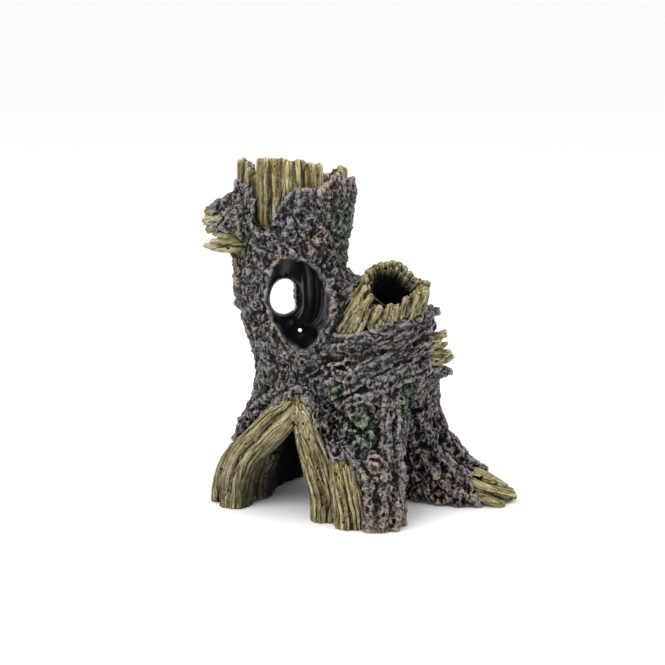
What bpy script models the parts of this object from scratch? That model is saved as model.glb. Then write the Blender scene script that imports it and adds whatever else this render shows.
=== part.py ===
"""A hollow tree stump: one casting in the shape of a broken bole on spreading roots.

Run with:  blender --background --python part.py
Units are metres, +Z is up, the front of the stump faces -Y, and the origin is the middle of
its box on the ground. Spines are written in millimetres as (x, y, z, radius).
"""

import math

import bmesh
import bpy
from mathutils import Vector

MM = 0.001

# Driving dimensions, in millimetres.
BOLE_RADIUS = 33.0  # the upright bole at the window
WALL = 10.0  # how thick the casting is round the bole's hollow
BRANCH_RADIUS = 18.0  # the hollow side branch at its rim
BRANCH_WALL = 4.5
CROWN_RADIUS = 25.0  # centre line of the ring of splinters on the broken top
CROWN_CENTRE = (-38.0, 14.0)
CROWN_FLOOR = 186.0  # bottom of the dished break inside the splinters
WINDOW_HALF_WIDTH = 17.0
WINDOW_LOW, WINDOW_HIGH = 97.5, 150.0

# Mesh quality, in metres.
OUTER_VOXEL = 0.0026
HOLLOW_VOXEL = 0.003
EVEN_VOXEL = 0.0028
KEPT_SHARE = 0.2  # share of the faces that Decimate keeps


def collection_named(name):
    made = bpy.data.collections.new(name)
    bpy.context.scene.collection.children.link(made)
    return made


def limb_mesh(spine, sides=9):
    """A closed tube through the spine's points, its radius eased from one point to the next."""
    curve = bpy.data.curves.new("limb", "CURVE")
    curve.dimensions = "3D"
    curve.bevel_depth = MM
    curve.bevel_resolution = sides
    curve.resolution_u = 6
    curve.use_fill_caps = True
    spline = curve.splines.new("BEZIER")
    spline.radius_interpolation = "CARDINAL"
    spline.bezier_points.add(len(spine) - 1)
    for point, (x, y, z, radius) in zip(spline.bezier_points, spine):
        point.co = Vector((x, y, z)) * MM
        point.radius = radius
        point.handle_left_type = point.handle_right_type = "AUTO"
    return mesh_of_curve(curve)


def slab_mesh(outline, low, high):
    """A smooth flat outline in x and z, extruded along y from low to high."""
    curve = bpy.data.curves.new("slab", "CURVE")
    curve.dimensions = "2D"
    curve.fill_mode = "BOTH"
    curve.extrude = (high - low) / 2 * MM
    curve.resolution_u = 8
    spline = curve.splines.new("BEZIER")
    spline.bezier_points.add(len(outline) - 1)
    spline.use_cyclic_u = True
    for point, (x, z) in zip(spline.bezier_points, outline):
        point.co = Vector((x, z, 0)) * MM
        point.handle_left_type = point.handle_right_type = "AUTO"
    mesh = mesh_of_curve(curve)
    # The curve lies in its own XY plane: stand it up, so that its depth runs along y.
    for vertex in mesh.vertices:
        across, up, depth = vertex.co
        vertex.co = Vector((across, (high + low) / 2 * MM - depth, up))
    return mesh


def mesh_of_curve(curve):
    """The curve's tube or slab as a mesh with its caps welded on."""
    carrier = bpy.data.objects.new("carrier", curve)
    bpy.context.scene.collection.objects.link(carrier)
    bpy.context.view_layer.update()
    graph = bpy.context.evaluated_depsgraph_get()
    mesh = bpy.data.meshes.new_from_object(carrier.evaluated_get(graph))
    bpy.data.objects.remove(carrier)
    weld = bmesh.new()
    weld.from_mesh(mesh)
    bmesh.ops.remove_doubles(weld, verts=weld.verts, dist=1e-6)
    bmesh.ops.recalc_face_normals(weld, faces=weld.faces)
    weld.to_mesh(mesh)
    weld.free()
    return mesh


def fused(name, meshes, voxel, rounding, where):
    """One object from overlapping closed meshes: Remesh joins them and Smooth rounds the crotches."""
    joined = bmesh.new()
    for mesh in meshes:
        joined.from_mesh(mesh)
        bpy.data.meshes.remove(mesh)
    whole = bpy.data.meshes.new(name)
    joined.to_mesh(whole)
    joined.free()
    obj = bpy.data.objects.new(name, whole)
    where.objects.link(obj)
    remesh = obj.modifiers.new("fuse", "REMESH")
    remesh.mode = "VOXEL"
    remesh.voxel_size = voxel
    smooth = obj.modifiers.new("round_crotches", "SMOOTH")
    smooth.factor = 0.5
    smooth.iterations = rounding
    return obj


# --- the outside -------------------------------------------------------------------------------

BOLE = [
    (-37, 14, 191, BOLE_RADIUS),
    (-37.5, 13, 176, BOLE_RADIUS + 2),
    (-40, 12, 155, BOLE_RADIUS + 1),
    (-41, 12, 130, BOLE_RADIUS),
    (-36, 12, 105, BOLE_RADIUS - 2),
    (-27, 11, 80, BOLE_RADIUS + 1),
    (-18, 12, 55, BOLE_RADIUS + 5),
    (-14, 15, 30, BOLE_RADIUS + 7),
    (-12, 16, -6, BOLE_RADIUS + 8),
]
BRANCH = [
    (20.5, -31, 140, BRANCH_RADIUS),
    (17, -22, 125, BRANCH_RADIUS + 1.5),
    (9, -9, 106, BRANCH_RADIUS + 5),
    (0, 4, 84, BRANCH_RADIUS + 8),
]


def bark_limbs():
    """Every thick limb of the bole: its shoulder, broken stubs and roots."""
    return [
        BOLE,
        BRANCH,
        # shoulder, running out to the broken stub on the right
        [(-6, 4, 70, 34), (10, -2, 80, 33), (25, -6, 90, 25), (36, -8, 97, 17)],
        # flank between that stub and the branch's rim
        [(23, -20, 122, 15), (29, -14, 110, 14.5), (35, -9, 97, 15)],
        # web in the fork between bole and branch
        [(-22, 2, 124, 20), (-9, -6, 121, 18), (4, -16, 117, 19)],
        # flare of the branch's rim on the side of the window
        [(-4, -12, 100, 16), (4, -22, 116, 13), (12, -30, 131, 11)],
        # knob on the upper left
        [(-58, 9, 168, 19), (-73, 4, 169, 16), (-84, 2, 169, 9), (-89, 1, 168, 4)],
        # front root
        [(4, -4, 80, 31), (7, -17, 55, 25), (9, -29, 32, 19), (11, -37, 14, 16.5), (11, -40, -6, 16.5)],
        # right root
        [(14, 8, 72, 29), (20, 12, 56, 27), (29, 15, 38, 23),
         (46, 10, 20, 18), (66, 1, 9, 14), (80, 1, 4, 11)],
        # its apron, down to the ground
        [(26, 14, 34, 22), (42, 12, 12, 19), (60, 3, 0, 16), (72, 0, -6, 13)],
        # left root, a buttress
        [(-34, 12, 85, 26), (-44, 9, 66, 20), (-52, 6, 52, 16), (-60, 5, 38, 14),
         (-67, 4, 22, 14), (-71, 6, 8, 14), (-72, 7, -6, 14)],
        # the wall between the left root and the back
        [(-66, 8, 4, 13), (-61, 24, 14, 14), (-52, 40, 12, 14), (-48, 46, -6, 14)],
        # back roots
        [(-20, 22, 70, 28), (-32, 34, 42, 21), (-43, 43, 18, 16), (-49, 47, -6, 15)],
        [(4, 16, 70, 30), (17, 30, 42, 22), (25, 41, 18, 17), (29, 46, -6, 16)],
    ]


def wood_limbs():
    """Bare wood: the two jambs of the front arch, the root's tip and the torn ends of the stubs."""
    return [
        # left jamb of the arch, down to the left foot
        [(-34, -20, 70, 9), (-42, -22, 62, 9), (-54, -18, 49, 9),
         (-66, -12, 35, 9.5), (-75, -6, 19, 10), (-78, -2, -5, 10)],
        # right jamb, down to the middle foot
        [(-35, -22, 68, 6), (-31, -27, 52, 7), (-25, -30, 34, 8), (-20, -30, 14, 8.5), (-19, -29, -5, 8.5)],
        # second strip beside the front root, and the wood behind it
        [(-12, -30, 44, 9), (-8, -38, 22, 9), (-5, -42, -5, 9)],
        [(-4, -26, 40, 12), (-4, -30, 20, 13), (-5, -30, -5, 14)],
        # tip of the right root
        [(70, 0, 11, 12), (82, 0, 8, 8), (91, 3, 5, 5.5)],
        # torn end of the right stub
        [(34, -8, 93, 17), (44, -7, 90, 13), (50, -6, 88, 7)],
        # splinter under the knob
        [(-62, 2, 157, 8), (-76, -2, 155, 5), (-88, -4, 155, 2.5)],
    ]


def crown_staves():
    """The ring of splinters round the broken top, tallest at the front and lowest at the back."""
    # Heights of the staves, the first at the front and the rest anticlockwise as seen from above.
    tops = [208, 208, 203, 199, 200, 200, 199, 197, 194, 192, 193, 195, 193, 196, 200, 206, 207, 208]
    staves = []
    for i, top in enumerate(tops):
        turn = 2 * math.pi * i / len(tops)
        x = CROWN_CENTRE[0] + CROWN_RADIUS * math.sin(turn)
        y = CROWN_CENTRE[1] - CROWN_RADIUS * math.cos(turn)
        staves.append([(x, y, 172, 5), (x, y, top - 6, 5), (x, y, top - 3, 4)])
    return staves


# --- the inside --------------------------------------------------------------------------------


def hollows():
    """What is left open: the bole, the cave between the roots, the branch's bore and the broken top."""
    bole = [(x, y, z, radius - WALL) for x, y, z, radius in BOLE[2:]]
    bore = BRANCH_RADIUS - BRANCH_WALL
    crown = CROWN_RADIUS - 5
    return [
        [(-39, 13, 170, 10), *bole],
        # cave floor, wider than the bole's own hollow
        [(-19, 14, 48, 26), (-19, 16, 26, 31), (-19, 17, -12, 32)],
        # front arch, wide below and narrowing to a point
        [(-22, 6, 4, 24), (-44, -12, 6, 22), (-62, -38, 6, 27)],
        [(-25, 0, 30, 17), (-40, -16, 34, 14), (-54, -38, 36, 16)],
        [(-24, 0, 46, 9), (-37, -18, 51, 5.5), (-46, -38, 54, 7)],
        # arch at the back, between the two back roots
        [(-10, 20, 4, 22), (-10, 44, 4, 22), (-10, 74, 4, 24)],
        # branch bore, curving down into the bole
        [(24.5, -50, 167, bore + 2), (20.5, -31, 140, bore), (14, -15, 120, bore),
         (-1, -1, 108, bore - 1), (-24, 9, 106, bore)],
        # dished break in the crown
        [(*CROWN_CENTRE, 216, crown), (*CROWN_CENTRE, CROWN_FLOOR + 6, crown),
         (*CROWN_CENTRE, CROWN_FLOOR, crown - 8)],
    ]


def window():
    """The front window: egg-shaped, its point down to the right."""
    middle, half = -35.5, WINDOW_HALF_WIDTH
    return [
        (middle - 4, WINDOW_HIGH),
        (middle - half, WINDOW_HIGH - 19),
        (middle - half + 3, WINDOW_HIGH - 36),
        (middle + 4, WINDOW_LOW),
        (middle + half - 1, WINDOW_LOW + 19),
        (middle + half - 2, WINDOW_HIGH - 18),
    ]


def back_window():
    """The smaller hole through the back of the bole, in line with the front window."""
    x, z, half_width, half_height = -45, 116.5, 8.5, 11
    return [(x, z + half_height), (x - half_width, z), (x, z - half_height), (x + half_width, z)]


# --- assembly ----------------------------------------------------------------------------------


def resin():
    """Grey-brown painted casting resin."""
    material = bpy.data.materials.new("painted_resin")
    material.use_nodes = True
    surface = material.node_tree.nodes["Principled BSDF"]
    surface.inputs["Base Color"].default_value = (0.085, 0.066, 0.06, 1)
    surface.inputs["Roughness"].default_value = 0.8
    surface.inputs["Metallic"].default_value = 0
    return material


def cut(obj, name, cutter):
    boolean = obj.modifiers.new(name, "BOOLEAN")
    boolean.operation = "DIFFERENCE"
    boolean.solver = "EXACT"
    boolean.object = cutter


def as_helper(obj):
    obj.hide_render = True
    obj.display_type = "WIRE"
    return obj


def ground_slab(where):
    """Cuts the feet flat."""
    bpy.ops.mesh.primitive_cube_add(size=1, location=(0, 0, -0.05), scale=(0.6, 0.6, 0.1))
    slab = bpy.context.object
    slab.name = "ground"
    bpy.ops.object.transform_apply(location=True, rotation=True, scale=True)
    for old in slab.users_collection:
        old.objects.unlink(slab)
    where.objects.link(slab)
    return as_helper(slab)


def centred_on_footprint(obj):
    """Bakes the modifiers and moves the mesh, so that the origin is the middle of the box's base."""
    bpy.context.view_layer.update()
    graph = bpy.context.evaluated_depsgraph_get()
    mesh = bpy.data.meshes.new_from_object(obj.evaluated_get(graph))
    obj.modifiers.clear()
    obj.data = mesh
    xs = [vertex.co.x for vertex in mesh.vertices]
    ys = [vertex.co.y for vertex in mesh.vertices]
    shift = Vector((-(min(xs) + max(xs)) / 2, -(min(ys) + max(ys)) / 2, 0))
    for vertex in mesh.vertices:
        vertex.co += shift


def main():
    for old in list(bpy.data.objects):
        bpy.data.objects.remove(old)
    parts, cutters = collection_named("tree_stump"), collection_named("cutters")

    outside = [limb_mesh(spine) for spine in bark_limbs() + wood_limbs() + crown_staves()]
    stump = fused("stump", outside, OUTER_VOXEL, 4, parts)

    inside = [limb_mesh(spine) for spine in hollows()]
    inside.append(slab_mesh(window(), -60, 14))
    inside.append(slab_mesh(back_window(), 14, 80))
    cut(stump, "hollow_out", as_helper(fused("hollow", inside, HOLLOW_VOXEL, 4, cutters)))

    even = stump.modifiers.new("even_faces", "REMESH")
    even.mode = "VOXEL"
    even.voxel_size = EVEN_VOXEL
    thin = stump.modifiers.new("fewer_faces", "DECIMATE")
    thin.ratio = KEPT_SHARE
    cut(stump, "flat_feet", ground_slab(cutters))
    stump.data.materials.append(resin())
    centred_on_footprint(stump)
    stump.data.shade_smooth()
    stump.data.set_sharp_from_angle(angle=math.radians(50))


main()
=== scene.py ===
import math
import random

import bmesh
import bpy
import numpy as np
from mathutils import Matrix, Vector, noise
from mathutils.bvhtree import BVHTree


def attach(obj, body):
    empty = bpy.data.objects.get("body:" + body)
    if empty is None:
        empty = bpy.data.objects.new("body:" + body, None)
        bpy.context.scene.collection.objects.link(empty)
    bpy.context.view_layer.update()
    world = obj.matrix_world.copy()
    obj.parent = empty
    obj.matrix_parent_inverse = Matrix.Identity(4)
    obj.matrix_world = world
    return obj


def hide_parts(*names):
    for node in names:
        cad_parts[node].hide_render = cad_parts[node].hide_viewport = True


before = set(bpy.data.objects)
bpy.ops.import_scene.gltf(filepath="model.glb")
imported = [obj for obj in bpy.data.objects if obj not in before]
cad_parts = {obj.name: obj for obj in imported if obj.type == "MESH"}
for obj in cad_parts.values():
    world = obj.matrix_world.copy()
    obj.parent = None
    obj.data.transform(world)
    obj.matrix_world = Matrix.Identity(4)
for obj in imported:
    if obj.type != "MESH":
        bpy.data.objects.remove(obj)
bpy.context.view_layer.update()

# --- Floor, light and camera ---------------------------------------------------------------------
# The stump stands on a plain white floor, under one broad soft light above its front left corner
# and a weaker one from the right. The camera is a little above it, square to its front.

LOOK_AT = Vector((-0.0174, -0.0027, 0.103))
CAMERA_DISTANCE = 0.9
CAMERA_HEIGHT_ANGLE = math.radians(12.5)
CAMERA_LENS = 84.1
LIT_SPOT = Vector((0, 0, 0.09))
FLOOR_RADIUS = 60
FLOOR_GAP = 0.0002  # the floor lies this far under the feet


def deselect():
    if bpy.context.object and bpy.context.object.mode != "OBJECT":
        bpy.ops.object.mode_set(mode="OBJECT")
    bpy.ops.object.select_all(action="DESELECT")


def only(piece):
    deselect()
    piece.select_set(True)
    bpy.context.view_layer.objects.active = piece
    return piece


def aim(thing, target):
    thing.rotation_euler = (target - thing.location).to_track_quat("-Z", "Y").to_euler()


def brush(tree, kind, settings=None, **inputs):
    """Adds a node. An input given as a socket is joined to it, and any other is its value. An input
    with no name of its own is given as i and its number."""
    made = tree.nodes.new("ShaderNode" + kind)
    for key, value in (settings or {}).items():
        setattr(made, key, value)
    for key, value in inputs.items():
        numbered = key[0] == "i" and key[1:].isdigit()
        socket = made.inputs[int(key[1:]) if numbered else key.replace("_", " ")]
        if isinstance(value, bpy.types.NodeSocket):
            tree.links.new(value, socket)
        else:
            socket.default_value = value
    return made


def finish(name, roughness, specular):
    """A new painted finish: its material, its node tree and its Principled shader."""
    material = bpy.data.materials.new(name)
    material.use_nodes = True
    shader = material.node_tree.nodes["Principled BSDF"]
    shader.inputs["Roughness"].default_value = roughness
    shader.inputs["Specular IOR Level"].default_value = specular
    return material, material.node_tree, shader


def tint(hex_colour):
    """The linear colour of a six-digit screen colour."""
    parts = [int(hex_colour[i:i + 2], 16) / 255 for i in (0, 2, 4)]
    return (*[p / 12.92 if p <= 0.04045 else ((p + 0.055) / 1.055) ** 2.4 for p in parts], 1)


def ramp(tree, factor, stops):
    """A colour ramp over (position, colour) stops."""
    made = brush(tree, "ValToRGB", Fac=factor)
    points = made.color_ramp.elements
    while len(points) < len(stops):
        points.new(0.5)
    for point, (position, colour) in zip(points, stops):
        point.position, point.color = position, tint(colour)
    return made.outputs["Color"]


def mottle(place, scale, detail, roughness=0.5):
    """Noise from 0 to 1 over the place, in the finish that is being mixed."""
    settings = {"Scale": scale, "Detail": detail, "Roughness": roughness}
    return brush(tree, "TexNoise", Vector=place, **settings).outputs["Fac"]


deselect()
bpy.ops.mesh.primitive_circle_add(vertices=96, radius=FLOOR_RADIUS, fill_type="NGON",
                                  location=(0, 0, -FLOOR_GAP))
floor = bpy.context.object
floor.name = "floor"
paper, tree, shader = finish("white_paper", 0.9, 0.1)
where = brush(tree, "TexCoord").outputs["Object"]
fibre = mottle(where, 900.0, 3.0)
tree.links.new(ramp(tree, fibre, [(0.3, "f9f9fa"), (0.7, "fcfcfc")]), shader.inputs["Base Color"])
floor.data.materials.append(paper)

world = bpy.data.worlds.new("studio")
world.use_nodes = True
world.node_tree.nodes["Background"].inputs["Color"].default_value = (1, 1, 1, 1)
world.node_tree.nodes["Background"].inputs["Strength"].default_value = 1.0
bpy.context.scene.world = world
bpy.context.scene.view_settings.view_transform = "Standard"

for name, spot, size, power in (
    ("key_light", (-0.55, -0.75, 1.15), 0.75, 10.5),
    ("fill_light", (1.0, -0.5, 0.7), 0.7, 2.5),
):
    deselect()
    bpy.ops.object.light_add(type="AREA", location=spot)
    lamp = bpy.context.object
    lamp.name, lamp.data.size, lamp.data.energy = name, size, power
    aim(lamp, LIT_SPOT)

deselect()
bpy.ops.object.camera_add(location=LOOK_AT + CAMERA_DISTANCE * Vector(
    (0, -math.cos(CAMERA_HEIGHT_ANGLE), math.sin(CAMERA_HEIGHT_ANGLE))))
camera = bpy.context.object
camera.data.lens = CAMERA_LENS
camera.data.sensor_width = 36
camera.data.clip_start = 0.01
camera.data.clip_end = 200
aim(camera, LOOK_AT)
bpy.context.scene.camera = camera

# --- Casting: bole, branch and roots under their bark --------------------------------------------
# The casting itself, in stone resin: the hollow bole, the branch, the knob, the stub and the roots.
# Its outside is modelled as crumbling bark that laps over the bare wood. Its hollow is smooth and
# nearly black.

MM = 0.001
DRAWING = np.array((-1.356, -2.694, 0.0))  # the drawing's origin in the frame, in millimetres
SKIN_VOXEL = 1.1
BARK_VOXEL = 0.75
MOST_BARK = 198500  # triangles
SEAT = 3.4  # how far the bark is sunk where bare wood lies on it, in millimetres
UPRIGHT = np.array((0.0, 0.0, 1.0))
skin = BVHTree.FromObject(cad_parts["stump"], bpy.context.evaluated_depsgraph_get())
dice = random.Random(4)


def spot_on(x, y, z):
    """A point of the drawing, in the frame's metres."""
    return Vector((x + DRAWING[0], y + DRAWING[1], z + DRAWING[2])) * MM


def on_front(x, z, sink=0.0):
    """The drawing's point on the casting's skin at x and z, seen from the front, and sunk into it."""
    hit = skin.ray_cast(spot_on(x, -150, z), Vector((0, 1, 0)))[0]
    y = hit.y / MM - DRAWING[1] if hit else 0.0
    return x, y + sink, z


def points_of(piece):
    """The piece's vertices in the drawing's millimetres, and their normals."""
    count = len(piece.data.vertices)
    flat, normals = np.empty(count * 3), np.empty(count * 3)
    piece.data.vertices.foreach_get("co", flat)
    piece.data.vertices.foreach_get("normal", normals)
    return flat.reshape(-1, 3) / MM - DRAWING, normals.reshape(-1, 3)


def move_to(piece, points, lowest=0.0):
    """Moves the piece's vertices to the drawing's points, none of them under the lowest height."""
    points[:, 2] = np.maximum(points[:, 2], lowest)
    piece.data.vertices.foreach_set("co", ((points + DRAWING) * MM).ravel())
    piece.data.update()


def noise_at(points, size, seed=0.0):
    """Smooth noise from -1 to 1 with lumps of that size in millimetres, one value a point."""
    return np.fromiter(map(noise.noise, (points / size + seed).tolist()), float, len(points))


def folds_at(points, size, width, seed=0.0):
    """Thin crumpled folds, 1 on their crests and 0 away from them."""
    return np.clip(1 - np.abs(noise_at(points, size, seed)) / width, 0, 1)


def pits_at(points, size, low, high, seed=0.0):
    """Round pits, 1 in them and 0 away from them, about one in each cell of that size."""
    places = (points / size + seed).tolist()
    far = np.fromiter((noise.voronoi(p)[0][0] for p in places), float, len(points))
    return 1 - step(low, high, far)


def step(low, high, value):
    """0 up to low and 1 from high, with a soft slope between. High may be the smaller one."""
    t = np.clip((value - low) / (high - low), 0, 1)
    return t * t * (3 - 2 * t)


def mark(piece, name, values):
    """Stores one number, or one vector, a vertex for the paint to read."""
    kind, field = ("FLOAT", "value") if values.ndim == 1 else ("FLOAT_VECTOR", "vector")
    layer = piece.data.attributes.new(name, kind, "POINT")
    layer.data.foreach_set(field, values.astype(np.float32).ravel())


def limbs(name, spines):
    """One mesh of closed tubes, each along (x, y, z, radius) points of the drawing."""
    deselect()
    bpy.ops.curve.primitive_bezier_curve_add()
    tubes = bpy.context.object
    tubes.name = name
    curve = tubes.data
    curve.splines.clear()
    curve.bevel_depth, curve.bevel_resolution, curve.resolution_u = MM, 2, 5
    curve.use_fill_caps = True
    for spine in spines:
        spline = curve.splines.new("BEZIER")
        spline.radius_interpolation = "CARDINAL"
        spline.bezier_points.add(len(spine) - 1)
        for point, (x, y, z, radius) in zip(spline.bezier_points, spine):
            point.co, point.radius = spot_on(x, y, z), radius
            point.handle_left_type = point.handle_right_type = "AUTO"
    bpy.ops.object.convert(target="MESH")
    bpy.ops.object.mode_set(mode="EDIT")
    bpy.ops.mesh.select_all(action="SELECT")
    bpy.ops.mesh.remove_doubles(threshold=1e-6)
    bpy.ops.mesh.normals_make_consistent(inside=False)
    bpy.ops.object.mode_set(mode="OBJECT")
    return tubes


def apply(piece, kind, **settings):
    only(piece)
    modifier = piece.modifiers.new(kind.lower(), kind)
    for key, value in settings.items():
        setattr(modifier, key, value)
    bpy.ops.object.modifier_apply(modifier=modifier.name)


def fuse(piece, voxel, rounding):
    """Makes one skin of all that the piece is made of, and rounds it off."""
    apply(piece, "REMESH", mode="VOXEL", voxel_size=voxel * MM)
    apply(piece, "SMOOTH", factor=0.5, iterations=rounding)


def thin(piece, most):
    """Brings the piece under that many triangles."""
    triangles = sum(len(face.vertices) - 2 for face in piece.data.polygons)
    if triangles > most:
        apply(piece, "DECIMATE", ratio=most / triangles)


def smoothed(piece, points, rounds):
    """The points after rounds of averaging each with its neighbours."""
    count = len(points)
    pairs = np.empty(len(piece.data.edges) * 2, dtype=np.int64)
    piece.data.edges.foreach_get("vertices", pairs)
    a, b = pairs[0::2], pairs[1::2]
    near = np.maximum(np.bincount(a, minlength=count) + np.bincount(b, minlength=count), 1)
    for _ in range(rounds):
        total = np.stack([np.bincount(a, points[b, i], count) + np.bincount(b, points[a, i], count)
                          for i in range(3)], axis=1)
        points = 0.4 * points + 0.6 * total / near[:, None]
    return points


def mark_relief(piece, fine, coarse):
    """Stores how far each point stands proud of its surroundings, near and wide, as 0 to 1."""
    points, normals = points_of(piece)
    for name, reach, turns in (("relief", fine, 5), ("swell", coarse, 40)):
        proud = ((points - smoothed(piece, points, turns)) * normals).sum(1)
        mark(piece, name, np.clip(0.5 + 0.5 * proud / reach, 0, 1))


# The hollow: the bole's bore, the cave, both arches and the branch's bore, as spines of the drawing.
HOLLOW = [
    [(-39, 13, 170, 10), (-40, 12, 155, 24), (-41, 12, 130, 23), (-36, 12, 105, 21), (-27, 11, 80, 24),
     (-18, 12, 55, 28), (-14, 15, 30, 30), (-12, 16, -6, 31)],
    [(-19, 14, 48, 26), (-19, 16, 26, 31), (-19, 17, -12, 32)],
    [(-10, 20, 4, 22), (-10, 44, 4, 22), (-10, 74, 4, 24)],
    [(-22, 6, 4, 24), (-44, -12, 6, 22), (-62, -38, 6, 27)],
    [(-25, 0, 30, 17), (-40, -16, 34, 14), (-54, -38, 36, 16)],
    [(-24, 0, 46, 9), (-37, -18, 51, 5.5), (-46, -38, 54, 7)],
    [(24.5, -50, 167, 15.5), (20.5, -31, 140, 13.5), (14, -15, 120, 13.5), (-1, -1, 108, 12.5),
     (-24, 9, 106, 13.5)],
    [(-38, 14, 216, 20), (-38, 14, 192, 20), (-38, 14, 186, 12)],
]
# Both windows' outlines as (x, z), seen from the front.
WINDOW = [(-39.5, 150), (-47, 146), (-52, 137), (-52.5, 127), (-50, 115), (-43, 103), (-36, 97.5),
          (-30, 98.5), (-23, 106), (-19, 117), (-18.6, 126), (-21, 136), (-27, 144), (-34, 149)]
BACK_WINDOW = [(-45 + 8.5 * math.cos(a), 116.5 + 11 * math.sin(a))
               for a in np.linspace(0, 2 * math.pi, 14)[:-1]]
# The branch as a spine, the middle of its rim, and the directions along it and across it.
BRANCH = [(20.5, -31, 140, 18), (17, -22, 125, 19.5), (9, -9, 106, 23)]
RIM = np.array((20.5, -31.0, 140.0))
OUTWARD = np.array((0.197, -0.505, 0.840)) / np.linalg.norm((0.197, -0.505, 0.840))
ACROSS = np.array((1.0, 0.0, 0.0)) - OUTWARD * OUTWARD[0]
ACROSS /= np.linalg.norm(ACROSS)
UP_BACK = np.cross(OUTWARD, ACROSS)
CROWN_MIDDLE = (-38.0, 14.0)
# The bark's upper edge round the crown: degrees from the front, anticlockwise from above, and height.
CROWN_EDGE = [(-90, 188), (-70, 191), (-56, 191), (-48, 188), (-45, 184), (-43, 174), (-39, 168),
              (-31, 164.5), (-25, 166.5), (-20, 171), (-14, 179), (-8, 185), (0, 189.5), (8, 192),
              (24, 191.5), (38, 195), (52, 197.5), (66, 195), (88, 192), (115, 189), (145, 184),
              (180, 185), (210, 183), (240, 186), (270, 188)]
# The bark's upper edge round the branch, seen from the front, and how far down it starts at the back.
BRANCH_EDGE = [(-16, 116), (-11, 112), (-3, 108), (0, 108), (5, 114), (9, 117.5), (13, 119), (21, 119.5),
               (30, 121), (37, 125), (44, 128)]
BRANCH_BACK = [(0, 12), (90, 14), (140, 28), (185, 36), (270, 36), (330, 12), (360, 12)]
# The bare bands over the arch, outlined from the front.
LEFT_BARE = [(-36.5, 72), (-46, 66), (-56, 57), (-66, 49), (-73, 40), (-80, 31), (-85, 20), (-88, 8),
             (-90, -9), (-48, -9), (-54, 12), (-58, 20), (-56, 28), (-49, 36), (-42, 44), (-38, 54)]
RIGHT_BARE = [(-38.5, 73), (-36, 74), (-31, 65), (-23, 49), (-16, 35), (-13, 37), (-9, 39), (-2, 28), (1, 20),
              (-1, -9), (-33, -9), (-31, 18), (-33, 30), (-35, 42), (-39, 57)]


def depth_in(points, chains):
    """How far outside the chains' tubes the points are, and less than 0 in them."""
    best = np.full(len(points), 1e9)
    for chain in chains:
        for (*a, ra), (*b, rb) in zip(chain, chain[1:]):
            a, run = np.array(a, float), np.array(b, float) - np.array(a, float)
            t = np.clip((points - a) @ run / (run @ run), 0, 1)
            far = np.linalg.norm(points - a - t[:, None] * run, axis=1) - (ra + (rb - ra) * t)
            best = np.minimum(best, far)
    return best


def outside_outline(points, outline):
    """Signed distance in x and z to a closed outline, less than 0 inside it."""
    flat = points[:, (0, 2)]
    best, inside = np.full(len(flat), 1e9), np.zeros(len(flat), bool)
    for a, b in zip(outline, outline[1:] + outline[:1]):
        a, b = np.array(a, float), np.array(b, float)
        run = b - a
        t = np.clip((flat - a) @ run / (run @ run), 0, 1)
        best = np.minimum(best, np.linalg.norm(flat - a - t[:, None] * run, axis=1))
        crosses = (a[1] > flat[:, 1]) != (b[1] > flat[:, 1])
        slope = run[0] / run[1] if run[1] else 0.0
        inside ^= crosses & (flat[:, 0] < a[0] + slope * (flat[:, 1] - a[1]))
    return np.where(inside, -best, best)


def open_depth(points):
    """Distance out of the hollow and both windows."""
    front = np.where(points[:, 1] < 14, outside_outline(points, WINDOW), 99)
    back = np.where((points[:, 1] > 14) & (points[:, 2] > 95), outside_outline(points, BACK_WINDOW), 99)
    return np.minimum(depth_in(points, HOLLOW), np.minimum(front, back))


def crown_bare(points):
    """Height above the bark's edge round the crown."""
    x, y = points[:, 0] - CROWN_MIDDLE[0], points[:, 1] - CROWN_MIDDLE[1]
    turn = np.degrees(np.arctan2(x, -y))
    edge = np.interp(np.where(turn < -90, turn + 360, turn), *zip(*CROWN_EDGE))
    return np.where((np.hypot(x, y) < 37) & (points[:, 2] > 158), points[:, 2] - edge, -9)


def branch_bare(points):
    """Distance past the bark's edge on the branch, towards its mouth."""
    away = points - RIM
    front = points[:, 2] - np.interp(points[:, 0], *zip(*BRANCH_EDGE))
    turn = np.degrees(np.arctan2(away @ UP_BACK, away @ ACROSS)) % 360
    back = np.interp(turn, *zip(*BRANCH_BACK)) + away @ OUTWARD
    behind = step(-2, 8, away @ UP_BACK)
    return np.where(depth_in(points, [BRANCH]) < 3, front + behind * (back - front), -9)


def band_bare(points):
    """Distance inside the bare bands over the arch."""
    left = np.where(points[:, 1] < 9, -outside_outline(points, LEFT_BARE), -9)
    right = np.where(points[:, 1] < 0, -outside_outline(points, RIGHT_BARE), -9)
    return np.maximum(left, right)


def tip_bare(points):
    """Distance past the bark's edge on the right root, the torn stub and the knob."""
    x, y, z = points.T
    root = np.where(z < 22, x - 64 - 0.47 * (20 - z) - 0.35 * np.maximum(y, 0), -9)
    stub = np.where((z > 86) & (z < 112), x - 41, -9)
    knob = np.where((z > 160) & (z < 177), -86 - x, -9)
    return np.maximum(root, np.maximum(stub, knob))


def bare_depth(points):
    """How far inside a bare patch the points are, less than 0 under the bark."""
    ragged = 1.0 * noise_at(points, 5.0, 31.0) + 0.8 * noise_at(points, 2.2, 35.0)
    return ragged + np.maximum(np.maximum(crown_bare(points), branch_bare(points)),
                               np.maximum(band_bare(points), tip_bare(points)))


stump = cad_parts["stump"]
bark = bpy.data.objects.new("bark", stump.data.copy())
bpy.context.scene.collection.objects.link(bark)
only(bark)
bpy.ops.object.mode_set(mode="EDIT")
bpy.ops.mesh.select_all(action="SELECT")
bpy.ops.mesh.remove_doubles(threshold=1e-6)
bpy.ops.object.mode_set(mode="OBJECT")


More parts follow.
